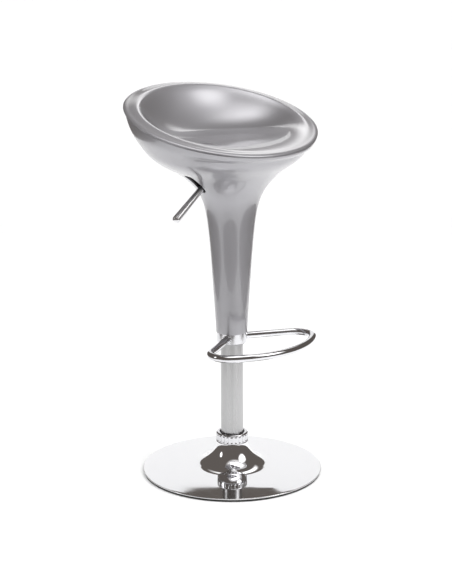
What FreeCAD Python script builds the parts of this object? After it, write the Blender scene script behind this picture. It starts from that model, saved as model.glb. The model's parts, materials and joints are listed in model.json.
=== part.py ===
import FreeCAD, Part
import math
import os
import Sketcher

# Height-adjustable swivel stool: moulded bucket seat on a flared bell, gas-spring column, round base.
# Frame: millimetres, +Z up, origin on the floor under the column's centre line.
# The sitter faces -Y, and the release lever is on the sitter's right, at -X.
# Rest pose: seat fully raised, lever released.

V = FreeCAD.Vector
Z_AXIS = V(0, 0, 1)
HALF_TURN = 180.0
GUSSETS = 4
FLUTES = 24
BALLS = 10
GRUB_ANGLES = (20.0, 100.0)
CORNERS = ((-1, -1), (1, -1), (1, 1), (-1, 1))

doc = FreeCAD.newDocument("stool")
sheet = doc.addObject("Spreadsheet::Sheet", "sizes")
parts = {}

DRIVING = {
    # round base
    "base_radius": 200.0,
    "base_sheet": 2.5,
    "base_edge": 7.2,
    "cone_radius": 36.5,
    "cone_height": 20.4,
    "flare_radius": 60.0,
    "crown_radius": 150.0,
    "crown_height": 12.1,
    "crown_rounding": 1500.0,
    "neck_radius": 33.5,
    "neck_high": 78.0,
    "foot_outer": 198.5,
    "foot_inner": 188.0,
    "socket_radius": 29.0,
    "socket_low": 14.0,
    "socket_step": 4.0,
    "gusset_reach": 86.0,
    "gusset_thick": 4.0,
    "gusset_low": 8.0,
    "gusset_middle": 68.0,
    "gusset_middle_high": 17.5,
    "gusset_root": 50.0,
    "gusset_root_high": 26.0,
    "gusset_high": 36.0,
    # knurled collar ring on the neck
    "ring_radius": 35.7,
    "ring_low": 68.0,
    "ring_high": 90.0,
    "ring_bore": 27.0,
    "ring_skin": 1.4,
    "flute_radius": 3.4,
    "flute_depth": 1.1,
    "flute_start": 3.0,
    "flute_stop": 5.0,
    "ring_rounding": 4.5,
    "ring_bore_rounding": 2.5,
    # fixed column
    "column_radius": 25.0,
    "column_bore": 22.4,
    "column_low": 14.0,
    "column_high": 400.0,
    "column_foot": 24.2,
    "end_disc": 3.0,
    "bush_low": 330.0,
    "bush_lip": 3.0,
    "bush_rounding": 1.5,
    "disc_gap": 0.4,
    "race_gap": 0.6,
    # gas spring
    "gas_radius": 14.0,
    "gas_bore": 12.5,
    "gas_low": 290.0,
    "gas_high": 671.0,
    "gas_tip": 13.3,
    "taper_low": 625.0,
    "gland_high": 312.0,
    "rod_radius": 5.0,
    "rod_end_radius": 4.0,
    "rod_low": 9.0,
    "rod_shoulder": 24.0,
    "piston_low": 322.0,
    "piston_high": 330.0,
    "rod_high": 336.0,
    "running_gap": 0.1,
    "race_radius": 14.0,
    "race_thick": 1.5,
    "ball_radius": 1.95,
    "ball_pitch": 10.0,
    "ball_play": 0.05,
    "cage_thick": 1.6,
    "cage_step": 0.5,
    "cage_bore_gap": 1.5,
    "clip_width": 4.0,
    "clip_high": 13.0,
    "clip_thick": 1.5,
    "stop_width": 6.5,
    "stop_height": 20.0,
    "groove_depth": 2.0,
    "piston_land": 2.5,
    "seal_gap": 0.05,
    "nut_corner": 6.5,
    "nut_height": 5.0,
    "pin_radius": 3.0,
    "pin_low": 634.0,
    "pin_high": 677.5,
    "pin_rounding": 1.2,
    "valve_low": 640.0,
    "valve_shoulder": 655.0,
    "valve_neck": 5.0,
    # seat mechanism
    "plate_half": 58.0,
    "plate_corner": 12.0,
    "plate_low": 668.0,
    "plate_high": 691.0,
    "plate_sheet": 2.5,
    "bolt_half": 42.0,
    "bolt_hole": 4.5,
    "hub_radius": 20.0,
    "hub_low": 627.0,
    "bridge_half": 25.0,
    "bridge_sheet": 3.0,
    "notch_half": 11.0,
    "notch_depth": 10.0,
    "notch_sill": 6.0,
    # lever
    "pivot_x": 30.0,
    "lever_height": 682.0,
    "lever_radius": 4.0,
    "lever_tip": 3.0,
    "lever_knee": 45.2,
    "lever_reach": 150.0,
    "lever_slope": 38.2,
    "knee_radius": 16.0,
    "eye_radius": 6.0,
    "pivot_radius": 2.4,
    "ear_half": 8.0,
    "ear_drop": 7.0,
    "ear_thick": 3.0,
    "ear_gap": 0.6,
    "pin_clip_radius": 4.6,
    "pin_clip_thick": 1.2,
    "overcut": 1.0,
    "grip_start": 72.0,
    "grip_length": 116.0,
    "grip_bore_depth": 98.0,
    "grip_root": 6.0,
    "grip_end": 8.3,
    "grip_round": 7.4,
    "grip_root_round": 1.0,
    # footrest
    "collar_mid": 310.0,
    "collar_height": 22.0,
    "collar_radius": 33.2,
    "collar_bore": 31.0,
    "collar_rounding": 0.8,
    "arm_start": 29.0,
    "tube_radius": 8.0,
    "tube_bore": 6.6,
    "arm_angle": 62.0,
    "arm_length": 135.0,
    "bend_radius": 38.0,
    "front_radius": 200.0,
    "sleeve_bore": 28.5,
    "sleeve_high": 385.0,
    "slide_gap": 0.3,
    "slide_high": 345.0,
    "slide_lip": 3.0,
    "slide_step": 0.8,
    "grub_radius": 2.5,
    "grub_sunk": 0.4,
    "hex_radius": 1.5,
    "hex_depth": 2.2,
    # seat and bell shells
    "shell_wall": 4.0,
    "neck_wall": 3.5,
    "slot_x": 102.0,
    "slot_z": 664.0,
    "slot_half_length": 33.0,
    "slot_half_width": 10.0,
    "slot_slope": 44.0,
    "boss_radius": 11.0,
    "insert_radius": 6.0,
    "insert_length": 15.0,
    "screw_radius": 4.0,
    "screw_length": 18.0,
    "screw_head": 7.4,
    "head_height": 5.3,
    "washer_radius": 8.0,
    "washer_thick": 1.5,
    "washer_gap": 0.2,
    "insert_gap": 0.05,
}

# Bell outline, from its mouth at the collar up towards the seam: height and mean radius of each station.
BELL_STATIONS = [
    (321.0, 34.4),
    (372.0, 37.2),
    (422.0, 40.4),
    (468.0, 43.4),
    (512.0, 46.4),
    (552.0, 50.1),
    (586.0, 54.6),
    (614.0, 61.5),
    (637.0, 72.6),
    (657.0, 88.5),
    (676.0, 109.9),
    (693.0, 137.2),
    (714.0, 163.0),
    (738.0, 180.4),
    (762.0, 194.6),
]

# Rings of the seat shell are ellipses, each given by its half width and its front and back points:
# half width, front Y, front Z, back Y, back Z.
# Rim, from the seam with the bell, over the roll, to the inner edge of its flat flange.
# The flange falls away at the front as a waterfall edge and lies level round the back.
# Its wall turns from standing to lying at station WALL_TURN.
RIM_STATIONS = [
    (231.9, -147.0, 724.5, 197.0, 848.0),
    (233.9, -146.3, 728.0, 199.5, 850.6),
    (231.5, -144.0, 730.2, 197.5, 852.6),
    (227.5, -141.5, 731.3, 194.0, 853.0),
    (223.0, -139.0, 732.4, 190.0, 853.0),
    (218.0, -136.0, 733.5, 185.0, 852.8),
    (213.0, -133.0, 734.6, 179.5, 852.4),
    (208.0, -129.8, 735.7, 174.0, 851.8),
    (203.0, -126.5, 736.8, 168.0, 851.0),
]
WALL_TURN = 2
STEEP_LIFT = 0.3
SEW = 0.001

# Seating surface, from the inner edge of the rim down to the floor of the dish.
BOWL_STATIONS = [
    (203.0, -126.5, 736.8, 168.0, 851.0),
    (194.0, -112.0, 740.2, 160.5, 839.0),
    (184.0, -97.0, 742.7, 152.5, 822.0),
    (173.0, -84.0, 744.3, 143.5, 804.0),
    (160.0, -72.0, 745.3, 132.5, 786.5),
    (143.0, -60.0, 745.9, 118.5, 770.5),
    (123.0, -48.0, 746.2, 102.0, 758.5),
    (100.0, -36.0, 746.2, 83.0, 751.0),
    (76.0, -24.0, 746.0, 63.0, 747.5),
    (50.0, -12.0, 745.8, 41.0, 746.0),
    (22.0, 0.0, 745.6, 18.0, 745.6),
]

STATION_PARTS = ("width", "front_y", "front_z", "back_y", "back_z")


def fill_sheet():
    """Puts every driving dimension in a cell with its own alias."""
    cells = dict(DRIVING)
    for i, (height, radius) in enumerate(BELL_STATIONS):
        cells[f"bell_height_{i}_"] = height
        cells[f"bell_radius_{i}_"] = radius
    for family, stations in (("rim", RIM_STATIONS), ("bowl", BOWL_STATIONS)):
        for i, station in enumerate(stations):
            for part, number in zip(STATION_PARTS, station):
                cells[f"{family}_{part}_{i}_"] = number
    for row, (alias, number) in enumerate(cells.items(), start=1):
        sheet.set(f"A{row}", alias)
        sheet.set(f"B{row}", str(number))
        sheet.setAlias(f"B{row}", alias)
    doc.recompute()


def size(expression):
    """The number that an expression on the sheet gives now."""
    found = sheet.evalExpression(expression)
    return float(getattr(found, "Value", found))


def bind(thing, **expressions):
    """Binds properties to expressions on the sheet. Two underscores in a name stand for a dot."""
    for name, expression in expressions.items():
        thing.setExpression(name.replace("__", "."), expression)
    return thing


def primitive(kind, name, **expressions):
    return bind(doc.addObject(kind, name), **expressions)


def cut(name, base, tool):
    made = doc.addObject("Part::Cut", name)
    made.Base = base
    made.Tool = tool
    return made


def fuse(name, shapes):
    made = doc.addObject("Part::MultiFuse", name)
    made.Shapes = shapes
    return made


def group(name, members):
    made = doc.addObject("Part::Compound", name)
    made.Links = members
    return made


def keep(label, made):
    """Registers a finished sub-part under the label that names its file."""
    made.Label = label
    parts[label] = made
    return made


# ---- sketches -------------------------------------------------------------------------------


def origin_plane(body, role):
    return next(f for f in body.Origin.OriginFeatures if f.Role == role)


def new_sketch(body, name, role):
    sketch = body.newObject("Sketcher::SketchObject", name)
    sketch.AttachmentSupport = (origin_plane(body, role), [""])
    sketch.MapMode = "FlatFace"
    return sketch


def lift_sketch(sketch, height):
    """Moves a sketch on the XY plane up to a height."""
    sketch.AttachmentOffset = FreeCAD.Placement(V(0, 0, size(height)), FreeCAD.Rotation())
    bind(sketch, AttachmentOffset__Base__z=height)


def place_point(sketch, geometry, point, name, across, up):
    """Holds a sketch point at (across, up), two expressions, measured from the sketch's origin."""
    for kind, axis, suffix, expression in (
        ("DistanceX", -2, "x", across),
        ("DistanceY", -1, "y", up),
    ):
        number = size(expression)
        if abs(number) < 1e-9:
            sketch.addConstraint(Sketcher.Constraint("PointOnObject", geometry, point, axis))
            continue
        index = sketch.addConstraint(Sketcher.Constraint(kind, -1, 1, geometry, point, number))
        sketch.renameConstraint(index, f"{name}_{suffix}")
        sketch.setExpression(f"Constraints.{name}_{suffix}", expression)


def tangent_points(before, corner, after, radius):
    """Start, middle and end of the arc that rounds a corner."""
    back = (before - corner).normalize()
    on = (after - corner).normalize()
    half = back.getAngle(on) / 2
    inward = (back + on).normalize()
    reach = radius / math.tan(half)
    middle = corner + inward * (radius / math.sin(half) - radius)
    return corner + back * reach, middle, corner + on * reach


def draw_outline(sketch, corners):
    """Closed outline through corners (across, up) or (across, up, rounding), all expressions."""
    points = [V(size(c[0]), size(c[1]), 0) for c in corners]
    count = len(points)
    starts, ends, arcs = {}, {}, {}
    for i, corner in enumerate(corners):
        starts[i] = ends[i] = points[i]
        if len(corner) > 2:
            radius = size(corner[2])
            after = points[(i + 1) % count]
            first, middle, last = tangent_points(points[i - 1], points[i], after, radius)
            arcs[i] = Part.Arc(first, middle, last)
            ends[i], starts[i] = first, last
    lines = [
        sketch.addGeometry(Part.LineSegment(starts[i], ends[(i + 1) % count]), False)
        for i in range(count)
    ]
    for i, corner in enumerate(corners):
        arriving, leaving = lines[i - 1], lines[i]
        if i not in arcs:
            sketch.addConstraint(Sketcher.Constraint("Coincident", arriving, 2, leaving, 1))
            place_point(sketch, leaving, 1, f"corner{i}", corner[0], corner[1])
            continue
        arc = sketch.addGeometry(arcs[i], False)
        arc_start = sketch.getPoint(arc, 1)
        first, last = (1, 2) if (arc_start - ends[i]).Length < 1e-6 else (2, 1)
        mark = sketch.addGeometry(Part.Point(points[i]), True)
        sketch.addConstraint(Sketcher.Constraint("Tangent", arriving, 2, arc, first))
        sketch.addConstraint(Sketcher.Constraint("Tangent", arc, last, leaving, 1))
        index = sketch.addConstraint(Sketcher.Constraint("Radius", arc, size(corner[2])))
        sketch.renameConstraint(index, f"rounding{i}")
        sketch.setExpression(f"Constraints.rounding{i}", corner[2])
        sketch.addConstraint(Sketcher.Constraint("PointOnObject", mark, 1, arriving))
        sketch.addConstraint(Sketcher.Constraint("PointOnObject", mark, 1, leaving))
        place_point(sketch, mark, 1, f"corner{i}", corner[0], corner[1])


def turned_body(name, corners):
    """A body turned about the Z axis from an outline of (radius, height) corners."""
    body = doc.addObject("PartDesign::Body", name)
    sketch = new_sketch(body, f"{name}_outline", "XZ_Plane")
    draw_outline(sketch, corners)
    turn = body.newObject("PartDesign::Revolution", f"{name}_turn")
    turn.Profile = sketch
    turn.ReferenceAxis = (sketch, ["V_Axis"])
    turn.Angle = 2 * HALF_TURN
    doc.recompute()
    return body


def turned(name, corners):
    return keep(name, turned_body(f"{name}_body", corners))


def ring_corners(inner, outer, low, high):
    return [(inner, low), (outer, low), (outer, high), (inner, high)]


# ---- round base and fixed column ------------------------------------------------------------


def underside(radius):
    """Height of the base disc's underside at a radius, leaving out its flare."""
    inner = f"sizes.crown_height - sizes.base_sheet + (sizes.crown_radius - {radius}) * {CROWN_SLOPE}"
    outer = f"sizes.base_edge - sizes.base_sheet + (sizes.base_radius - {radius}) * {RIM_SLOPE}"
    return outer if size(radius) > size("sizes.crown_radius") else inner


CROWN_SLOPE = "(sizes.cone_height - sizes.crown_height) / (sizes.crown_radius - sizes.cone_radius)"
RIM_SLOPE = "(sizes.crown_height - sizes.base_edge) / (sizes.base_radius - sizes.crown_radius)"


def make_base():
    neck_inside = "sizes.neck_radius - sizes.base_sheet"
    turned(
        "base_disc",
        [
            ("sizes.neck_radius", "sizes.neck_high"),
            ("sizes.cone_radius", "sizes.cone_height", "sizes.flare_radius"),
            ("sizes.crown_radius", "sizes.crown_height", "sizes.crown_rounding"),
            ("sizes.base_radius", "sizes.base_edge"),
            ("sizes.base_radius", "sizes.base_edge - sizes.base_sheet"),
            ("sizes.crown_radius", "sizes.crown_height - sizes.base_sheet", "sizes.crown_rounding"),
            (
                "sizes.cone_radius - sizes.base_sheet",
                "sizes.cone_height - sizes.base_sheet",
                "sizes.flare_radius + sizes.base_sheet",
            ),
            (neck_inside, "sizes.neck_high"),
        ],
    )
    turned(
        "floor_ring",
        [
            ("sizes.foot_inner", "0"),
            ("sizes.foot_outer", "0"),
            ("sizes.foot_outer", underside("sizes.foot_outer")),
            ("sizes.foot_inner", underside("sizes.foot_inner")),
        ],
    )
    turned(
        "base_socket",
        [
            (column_outside("sizes.socket_low"), "sizes.socket_low"),
            ("sizes.socket_radius", "sizes.socket_low"),
            ("sizes.socket_radius", "sizes.ring_low"),
            (neck_inside, "sizes.ring_low + sizes.socket_step"),
            (neck_inside, "sizes.neck_high"),
            ("sizes.column_radius", "sizes.neck_high"),
        ],
    )
    gussets = []
    for i in range(GUSSETS):
        body = doc.addObject("PartDesign::Body", f"gusset{i}_body")
        sketch = new_sketch(body, f"gusset{i}_outline", "XZ_Plane")
        draw_outline(
            sketch,
            [
                ("sizes.socket_radius", "sizes.socket_low"),
                ("sizes.gusset_reach", "sizes.gusset_low"),
                ("sizes.gusset_reach", underside("sizes.gusset_reach")),
                ("sizes.gusset_middle", "sizes.gusset_middle_high"),
                ("sizes.gusset_root", "sizes.gusset_root_high"),
                ("sizes.socket_radius", "sizes.gusset_high"),
            ],
        )
        pad = body.newObject("PartDesign::Pad", f"gusset{i}_pad")
        pad.Profile = sketch
        pad.Midplane = True
        bind(pad, Length="sizes.gusset_thick")
        turn = 2 * HALF_TURN * (i + 0.5) / GUSSETS
        body.Placement = FreeCAD.Placement(V(), FreeCAD.Rotation(Z_AXIS, turn))
        gussets.append(body)
    keep("base_gussets", group("gusset_group", gussets))
    make_collar_ring()


def make_collar_ring():
    """Knurled ring that caps the base neck: turned, then fluted round its outside."""
    skin = "sizes.ring_radius - sizes.ring_skin"
    body = turned_body(
        "collar_ring_body",
        [
            ("sizes.ring_bore", "sizes.neck_high"),
            (skin, "sizes.neck_high"),
            (skin, "sizes.ring_low"),
            ("sizes.ring_radius", "sizes.ring_low"),
            ("sizes.ring_radius", "sizes.ring_high", "sizes.ring_rounding"),
            ("sizes.ring_bore", "sizes.ring_high", "sizes.ring_bore_rounding"),
        ],
    )
    sketch = new_sketch(body, "flute_outline", "XY_Plane")
    across = "sizes.ring_radius + sizes.flute_radius - sizes.flute_depth"
    sketch.addGeometry(Part.Circle(V(size(across), 0, 0), Z_AXIS, size("sizes.flute_radius")), False)
    index = sketch.addConstraint(Sketcher.Constraint("Radius", 0, size("sizes.flute_radius")))
    sketch.renameConstraint(index, "flute")
    sketch.setExpression("Constraints.flute", "sizes.flute_radius")
    place_point(sketch, 0, 3, "flute_centre", across, "0")
    lift_sketch(sketch, "sizes.ring_low + sizes.flute_start")
    flute = body.newObject("PartDesign::Pocket", "flute_cut")
    flute.Profile = sketch
    flute.Reversed = True
    bind(flute, Length="sizes.ring_high - sizes.ring_low - sizes.flute_start - sizes.flute_stop")
    doc.recompute()
    pattern = body.newObject("PartDesign::PolarPattern", "flute_pattern")
    pattern.Originals = [flute]
    pattern.Axis = (sketch, ["N_Axis"])
    pattern.Angle = 2 * HALF_TURN
    pattern.Occurrences = FLUTES
    body.Tip = pattern
    keep("base_collar_ring", body)


def column_outside(height):
    """Outside radius of the column's tapered foot at a height."""
    rise = f"({height} - sizes.column_low) / (sizes.neck_high - sizes.column_low)"
    return f"sizes.column_foot + (sizes.column_radius - sizes.column_foot) * {rise}"


def make_column():
    disc_top = "sizes.column_low + sizes.end_disc"
    turned(
        "column_tube",
        [
            ("sizes.column_bore", "sizes.column_low"),
            ("sizes.column_foot", "sizes.column_low"),
            ("sizes.column_radius", "sizes.neck_high"),
            ("sizes.column_radius", "sizes.column_high"),
            ("sizes.column_bore", "sizes.column_high"),
        ],
    )
    rod_hole = "sizes.rod_end_radius + sizes.disc_gap"
    turned(
        "column_end_disc",
        ring_corners(rod_hole, "sizes.column_bore", "sizes.column_low", disc_top),
    )
    guide = "sizes.gas_radius + sizes.running_gap"
    bush_top = "sizes.column_high + sizes.bush_lip"
    turned(
        "column_guide_bush",
        [
            (guide, "sizes.bush_low"),
            ("sizes.column_bore", "sizes.bush_low"),
            ("sizes.column_bore", "sizes.column_high"),
            ("sizes.column_radius", "sizes.column_high"),
            ("sizes.column_radius", bush_top, "sizes.bush_rounding"),
            (guide, bush_top),
        ],
    )
    race_bore = "sizes.rod_end_radius + sizes.race_gap"
    race_top = f"{disc_top} + sizes.race_thick"
    turned("lower_thrust_race", ring_corners(race_bore, "sizes.race_radius", disc_top, race_top))


# ---- swivelling rod and its thrust bearing --------------------------------------------------


def make_bearing():
    """Ball cage between the two thrust races."""
    centre = "sizes.rod_shoulder - sizes.race_thick - sizes.ball_radius - sizes.ball_play"
    hole_low = f"{centre} - sizes.cage_thick"

    def hole(name, radius, **place):
        return primitive(
            "Part::Cylinder",
            name,
            Radius=radius,
            Height="2 * sizes.cage_thick",
            Placement__Base__z=hole_low,
            **place,
        )

    cage_outer = primitive(
        "Part::Cylinder",
        "cage_outer",
        Radius="sizes.race_radius - sizes.cage_step",
        Height="sizes.cage_thick",
        Placement__Base__z=f"{centre} - sizes.cage_thick / 2",
    )
    holes = [hole("cage_bore", "sizes.rod_radius + sizes.cage_bore_gap")]
    balls = []
    for i in range(BALLS):
        turn = 2 * HALF_TURN * i / BALLS
        place = {
            "Placement__Base__x": f"sizes.ball_pitch * cos({turn})",
            "Placement__Base__y": f"sizes.ball_pitch * sin({turn})",
        }
        holes.append(hole(f"ball_hole{i}", "sizes.ball_radius + sizes.running_gap", **place))
        place["Placement__Base__z"] = centre
        balls.append(primitive("Part::Sphere", f"ball{i}", Radius="sizes.ball_radius", **place))
    keep("bearing_cage", cut("cage_pierced", cage_outer, fuse("cage_holes", holes)))
    keep("bearing_balls", group("ball_group", balls))


def make_rod():
    turned(
        "piston_rod",
        [
            ("0", "sizes.rod_low"),
            ("sizes.rod_end_radius", "sizes.rod_low"),
            ("sizes.rod_end_radius", "sizes.rod_shoulder"),
            ("sizes.rod_radius", "sizes.rod_shoulder"),
            ("sizes.rod_radius", "sizes.piston_low"),
            ("sizes.rod_end_radius", "sizes.piston_low"),
            ("sizes.rod_end_radius", "sizes.rod_high"),
            ("0", "sizes.rod_high"),
        ],
    )
    race_low = "sizes.rod_shoulder - sizes.race_thick"
    rod_end = "sizes.rod_end_radius"
    turned(
        "upper_thrust_race",
        ring_corners(rod_end, "sizes.race_radius", race_low, "sizes.rod_shoulder"),
    )
    turned(
        "rod_retaining_clip",
        ring_corners(
            rod_end,
            f"{rod_end} + sizes.clip_width",
            "sizes.clip_high - sizes.clip_thick",
            "sizes.clip_high",
        ),
    )
    turned(
        "bump_stop",
        ring_corners(
            "sizes.rod_radius",
            "sizes.rod_radius + sizes.stop_width",
            "sizes.rod_shoulder",
            "sizes.rod_shoulder + sizes.stop_height",
        ),
    )
    make_piston()


def make_piston():
    rod_end = "sizes.rod_end_radius"
    piston = "sizes.gas_bore - sizes.running_gap"
    groove = "sizes.gas_bore - sizes.groove_depth"
    groove_low = "sizes.piston_low + sizes.piston_land"
    groove_high = "sizes.piston_high - sizes.piston_land"
    turned(
        "piston_head",
        [
            (rod_end, "sizes.piston_low"),
            (piston, "sizes.piston_low"),
            (piston, groove_low),
            (groove, groove_low),
            (groove, groove_high),
            (piston, groove_high),
            (piston, "sizes.piston_high"),
            (rod_end, "sizes.piston_high"),
        ],
    )
    seal_outer = "sizes.gas_bore - sizes.seal_gap"
    turned("piston_seal", ring_corners(groove, seal_outer, groove_low, groove_high))
    blank = primitive(
        "Part::Prism",
        "nut_blank",
        Circumradius="sizes.nut_corner",
        Height="sizes.nut_height",
        Placement__Base__z="sizes.piston_high",
    )
    bore = primitive(
        "Part::Cylinder",
        "nut_bore",
        Radius=rod_end,
        Height="sizes.nut_height + 2 * sizes.overcut",
        Placement__Base__z="sizes.piston_high - sizes.overcut",
    )
    keep("piston_nut", cut("nut_bored", blank, bore))


# ---- gas spring, plate and lever ------------------------------------------------------------


def gas_outside(height):
    """Outside radius of the gas cylinder's tapered top at a height."""
    rise = f"({height} - sizes.taper_low) / (sizes.gas_high - sizes.taper_low)"
    return f"sizes.gas_radius - (sizes.gas_radius - sizes.gas_tip) * {rise}"


def make_gas_spring():
    turned(
        "gas_cylinder",
        [
            ("sizes.gas_bore", "sizes.gas_low"),
            ("sizes.gas_radius", "sizes.gas_low"),
            ("sizes.gas_radius", "sizes.taper_low"),
            ("sizes.gas_tip", "sizes.gas_high"),
            ("sizes.valve_neck", "sizes.gas_high"),
            ("sizes.valve_neck", "sizes.valve_shoulder"),
            ("sizes.gas_bore", "sizes.valve_shoulder"),
        ],
    )
    gland_bore = "sizes.rod_radius + sizes.running_gap"
    turned(
        "cylinder_gland",
        ring_corners(gland_bore, "sizes.gas_bore", "sizes.gas_low", "sizes.gland_high"),
    )
    pin_bore = "sizes.pin_radius + sizes.running_gap"
    turned(
        "valve_body",
        [
            (pin_bore, "sizes.valve_low"),
            ("sizes.gas_bore", "sizes.valve_low"),
            ("sizes.gas_bore", "sizes.valve_shoulder"),
            ("sizes.valve_neck", "sizes.valve_shoulder"),
            ("sizes.valve_neck", "sizes.gas_high"),
            (pin_bore, "sizes.gas_high"),
        ],
    )
    turned(
        "valve_pin",
        [
            ("0", "sizes.pin_low"),
            ("sizes.pin_radius", "sizes.pin_low"),
            ("sizes.pin_radius", "sizes.pin_high", "sizes.pin_rounding"),
            ("0", "sizes.pin_high"),
        ],
    )
    turned(
        "taper_hub",
        [
            (gas_outside("sizes.hub_low"), "sizes.hub_low"),
            ("sizes.hub_radius", "sizes.hub_low"),
            ("sizes.hub_radius", "sizes.gas_high"),
            ("sizes.gas_tip", "sizes.gas_high"),
        ],
    )


def square_corners(half, rounding):
    return [(f"{a} * {half}", f"{b} * {half}", rounding) for a, b in CORNERS]


def plate_pocket(body, name, sketch, depth):
    """Cuts a sketch's outline upwards into the plate from its lower edge."""
    lift_sketch(sketch, "sizes.plate_low")
    pocket = body.newObject("PartDesign::Pocket", name)
    pocket.Profile = sketch
    pocket.Reversed = True
    bind(pocket, Length=depth)
    doc.recompute()


def make_plate():
    """Pressed steel tray under the seat."""
    body = doc.addObject("PartDesign::Body", "plate_body")
    plate_depth = "sizes.plate_high - sizes.plate_low"
    outside = new_sketch(body, "plate_outline", "XY_Plane")
    draw_outline(outside, square_corners("sizes.plate_half", "sizes.plate_corner"))
    lift_sketch(outside, "sizes.plate_low")
    block = body.newObject("PartDesign::Pad", "plate_block")
    block.Profile = outside
    bind(block, Length=plate_depth)
    doc.recompute()
    inside = new_sketch(body, "plate_hollow", "XY_Plane")
    inner_half = "(sizes.plate_half - sizes.plate_sheet)"
    draw_outline(inside, square_corners(inner_half, "sizes.plate_corner - sizes.plate_sheet"))
    plate_pocket(body, "plate_hollow_cut", inside, f"{plate_depth} - sizes.plate_sheet")
    notch = new_sketch(body, "notch_outline", "XY_Plane")
    notch_outer = "-sizes.plate_half - sizes.overcut"
    notch_inner = "-sizes.plate_half + sizes.notch_depth"
    draw_outline(
        notch,
        [
            (notch_outer, "-sizes.notch_half"),
            (notch_inner, "-sizes.notch_half"),
            (notch_inner, "sizes.notch_half"),
            (notch_outer, "sizes.notch_half"),
        ],
    )
    plate_pocket(body, "notch_cut", notch, f"{plate_depth} - sizes.notch_sill")
    bolt = new_sketch(body, "bolt_outline", "XY_Plane")
    for i, (a, b) in enumerate(CORNERS):
        centre = V(a * size("sizes.bolt_half"), b * size("sizes.bolt_half"), 0)
        bolt.addGeometry(Part.Circle(centre, Z_AXIS, size("sizes.bolt_hole")), False)
        index = bolt.addConstraint(Sketcher.Constraint("Radius", i, size("sizes.bolt_hole")))
        bolt.renameConstraint(index, f"bolt{i}")
        bolt.setExpression(f"Constraints.bolt{i}", "sizes.bolt_hole")
        place_point(bolt, i, 3, f"bolt{i}", f"{a} * sizes.bolt_half", f"{b} * sizes.bolt_half")
    plate_pocket(body, "bolt_holes", bolt, f"{plate_depth} + sizes.overcut")
    keep("seat_plate", body)


def make_bridge():
    """Flat bar across the plate that carries the taper hub."""
    inner_half = "(sizes.plate_half - sizes.plate_sheet)"
    bridge = primitive(
        "Part::Box",
        "bridge_blank",
        Length="2 * sizes.bridge_half",
        Width=f"2 * {inner_half}",
        Height="sizes.bridge_sheet",
        Placement__Base__x="-sizes.bridge_half",
        Placement__Base__y=f"-{inner_half}",
        Placement__Base__z="sizes.gas_high - sizes.bridge_sheet",
    )
    hole = primitive(
        "Part::Cylinder",
        "bridge_hole",
        Radius="sizes.hub_radius",
        Height="sizes.bridge_sheet + 2 * sizes.overcut",
        Placement__Base__z="sizes.gas_high - sizes.bridge_sheet - sizes.overcut",
    )
    keep("hub_bridge", cut("bridge_bored", bridge, hole))


def cross_cylinder(name, radius, low_y, high_y):
    """A cylinder along Y through the lever's pivot."""
    made = primitive(
        "Part::Cylinder",
        name,
        Radius=radius,
        Height=f"({high_y}) - ({low_y})",
        Placement__Base__x="-sizes.pivot_x",
        Placement__Base__y=low_y,
        Placement__Base__z="sizes.lever_height",
    )
    made.Placement = FreeCAD.Placement(V(), FreeCAD.Rotation(V(1, 0, 0), -HALF_TURN / 2))
    return made


def pin_hole(name, low_y, thick):
    """The pin's hole through something that starts at low_y."""
    high_y = f"{low_y} + {thick} + sizes.overcut"
    return cross_cylinder(f"{name}_hole", "sizes.pivot_radius", f"{low_y} - sizes.overcut", high_y)


def make_pivot():
    """Two ears under the plate, the pin through them and a clip on each end of the pin."""
    under = "sizes.plate_high - sizes.plate_sheet"
    inner = "sizes.lever_radius + sizes.ear_gap"
    outer = f"{inner} + sizes.ear_thick"
    spans = {
        "front": (f"-({outer})", f"-({outer}) - sizes.pin_clip_thick"),
        "back": (inner, outer),
    }
    ears, clips = [], []
    for side, (ear_low, clip_low) in spans.items():
        blank = primitive(
            "Part::Box",
            f"{side}_ear_blank",
            Length="2 * sizes.ear_half",
            Width="sizes.ear_thick",
            Height=f"{under} - sizes.lever_height + sizes.ear_drop",
            Placement__Base__x="-sizes.pivot_x - sizes.ear_half",
            Placement__Base__y=ear_low,
            Placement__Base__z="sizes.lever_height - sizes.ear_drop",
        )
        ears.append(cut(f"{side}_ear", blank, pin_hole(f"{side}_ear", ear_low, "sizes.ear_thick")))
        disc = cross_cylinder(
            f"{side}_clip_disc", "sizes.pin_clip_radius", clip_low, f"{clip_low} + sizes.pin_clip_thick"
        )
        bore = pin_hole(f"{side}_clip", clip_low, "sizes.pin_clip_thick")
        clips.append(cut(f"{side}_clip", disc, bore))
    keep("lever_bracket", group("ear_group", ears))
    keep("lever_pin_clips", group("clip_group", clips))
    end = f"({outer} + 2 * sizes.pin_clip_thick)"
    keep("lever_pin", cross_cylinder("pin_rod", "sizes.pivot_radius", f"-{end}", end))


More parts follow.
